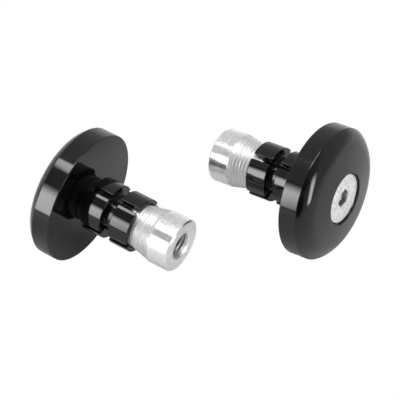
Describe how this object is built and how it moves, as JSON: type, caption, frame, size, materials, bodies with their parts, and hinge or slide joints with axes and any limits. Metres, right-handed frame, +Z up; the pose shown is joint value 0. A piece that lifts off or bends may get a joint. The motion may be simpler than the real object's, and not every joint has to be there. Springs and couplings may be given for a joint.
{
  "type": "expanding bar-end plug pair",
  "caption": "Domed black bar-end plugs whose countersunk screw draws a wedge nut into a slotted expander to grip a handlebar's bore.",
  "frame": {"origin": "middle of the left plug's expander, on the plug's axis", "axes": "+X along the left plug's screw, from its cap to its nut; +Z up; the right plug faces it along -X"},
  "size_m": [0.06, 0.0625, 0.0342],
  "materials": {
    "cap_black": "black anodised, satin",
    "screw_steel": "matte bare metal",
    "expander_plastic": "gloss moulded black",
    "nut_aluminium": "turned"
  },
  "bodies": {
    "caps": {"left_cap": "cap_black", "left_expander_neck": "expander_plastic", "right_cap": "cap_black", "right_expander_neck": "expander_plastic"},
    "left_screw": {"left_bolt": "screw_steel"},
    "left_nut": {"left_wedge_nut": "nut_aluminium"},
    "left_jaw_1": {"left_expander_jaw_1": "expander_plastic"},
    "left_jaw_2": {"left_expander_jaw_2": "expander_plastic"},
    "left_jaw_3": {"left_expander_jaw_3": "expander_plastic"},
    "left_jaw_4": {"left_expander_jaw_4": "expander_plastic"},
    "right_screw": {"right_bolt": "screw_steel"},
    "right_nut": {"right_wedge_nut": "nut_aluminium"},
    "right_jaw_1": {"right_expander_jaw_1": "expander_plastic"},
    "right_jaw_2": {"right_expander_jaw_2": "expander_plastic"},
    "right_jaw_3": {"right_expander_jaw_3": "expander_plastic"},
    "right_jaw_4": {"right_expander_jaw_4": "expander_plastic"}
  },
  "joints": [
    {"name": "left_nut_draw", "type": "slide", "parent": "caps", "child": "left_nut", "axis": [-1, 0, 0], "range_m": [0, 0.002]},
    {"name": "left_screw_turn", "type": "hinge", "parent": "caps", "child": "left_screw", "pos_m": [-0.00875, 0, 0], "axis": [1, 0, 0], "range_deg": [0, 721]},
    {"name": "left_jaw_1_spread", "type": "hinge", "parent": "caps", "child": "left_jaw_1", "pos_m": [-0.00635, -0.0036, 0.00245], "axis": [0, -0.5621, -0.8271], "range_deg": [0, 2.51]},
    {"name": "left_jaw_2_spread", "type": "hinge", "parent": "caps", "child": "left_jaw_2", "pos_m": [-0.00635, -0.00245, -0.0036], "axis": [0, 0.8271, -0.5621], "range_deg": [0, 2.51]},
    {"name": "left_jaw_3_spread", "type": "hinge", "parent": "caps", "child": "left_jaw_3", "pos_m": [-0.00635, 0.0036, -0.00245], "axis": [0, 0.5621, 0.8271], "range_deg": [0, 2.51]},
    {"name": "left_jaw_4_spread", "type": "hinge", "parent": "caps", "child": "left_jaw_4", "pos_m": [-0.00635, 0.00245, 0.0036], "axis": [0, -0.8271, 0.5621], "range_deg": [0, 2.51]},
    {"name": "right_nut_draw", "type": "slide", "parent": "caps", "child": "right_nut", "axis": [0.9885, 0, 0.1513], "range_m": [0, 0.002]},
    {"name": "right_screw_turn", "type": "hinge", "parent": "caps", "child": "right_screw", "pos_m": [0.034, 0.0305, 0.0017], "axis": [-0.9885, 0, -0.1513], "range_deg": [0, 721]},
    {"name": "right_jaw_1_spread", "type": "hinge", "parent": "caps", "child": "right_jaw_1", "pos_m": [0.03103, 0.0323, 0.00525], "axis": [0.0627, 0.91, -0.4099], "range_deg": [0, 2.51]},
    {"name": "right_jaw_2_spread", "type": "hinge", "parent": "caps", "child": "right_jaw_2", "pos_m": [0.0319, 0.03446, -0.00045], "axis": [0.1376, -0.4147, -0.8995], "range_deg": [0, 2.51]},
    {"name": "right_jaw_3_spread", "type": "hinge", "parent": "caps", "child": "right_jaw_3", "pos_m": [0.03223, 0.0287, -0.00258], "axis": [-0.0627, -0.91, 0.4099], "range_deg": [0, 2.51]},
    {"name": "right_jaw_4_spread", "type": "hinge", "parent": "caps", "child": "right_jaw_4", "pos_m": [0.03135, 0.02654, 0.00312], "axis": [-0.1376, 0.4147, 0.8995], "range_deg": [0, 2.51]}
  ],
  "couplings": [
    {"joint": "left_screw_turn", "follows": "left_nut_draw", "rad_per_m": 6283.2},
    {"joint": "left_jaw_1_spread", "follows": "left_nut_draw", "rad_per_m": 21.817},
    {"joint": "left_jaw_2_spread", "follows": "left_nut_draw", "rad_per_m": 21.817},
    {"joint": "left_jaw_3_spread", "follows": "left_nut_draw", "rad_per_m": 21.817},
    {"joint": "left_jaw_4_spread", "follows": "left_nut_draw", "rad_per_m": 21.817},
    {"joint": "right_screw_turn", "follows": "right_nut_draw", "rad_per_m": 6283.2},
    {"joint": "right_jaw_1_spread", "follows": "right_nut_draw", "rad_per_m": 21.817},
    {"joint": "right_jaw_2_spread", "follows": "right_nut_draw", "rad_per_m": 21.817},
    {"joint": "right_jaw_3_spread", "follows": "right_nut_draw", "rad_per_m": 21.817},
    {"joint": "right_jaw_4_spread", "follows": "right_nut_draw", "rad_per_m": 21.817}
  ]
}
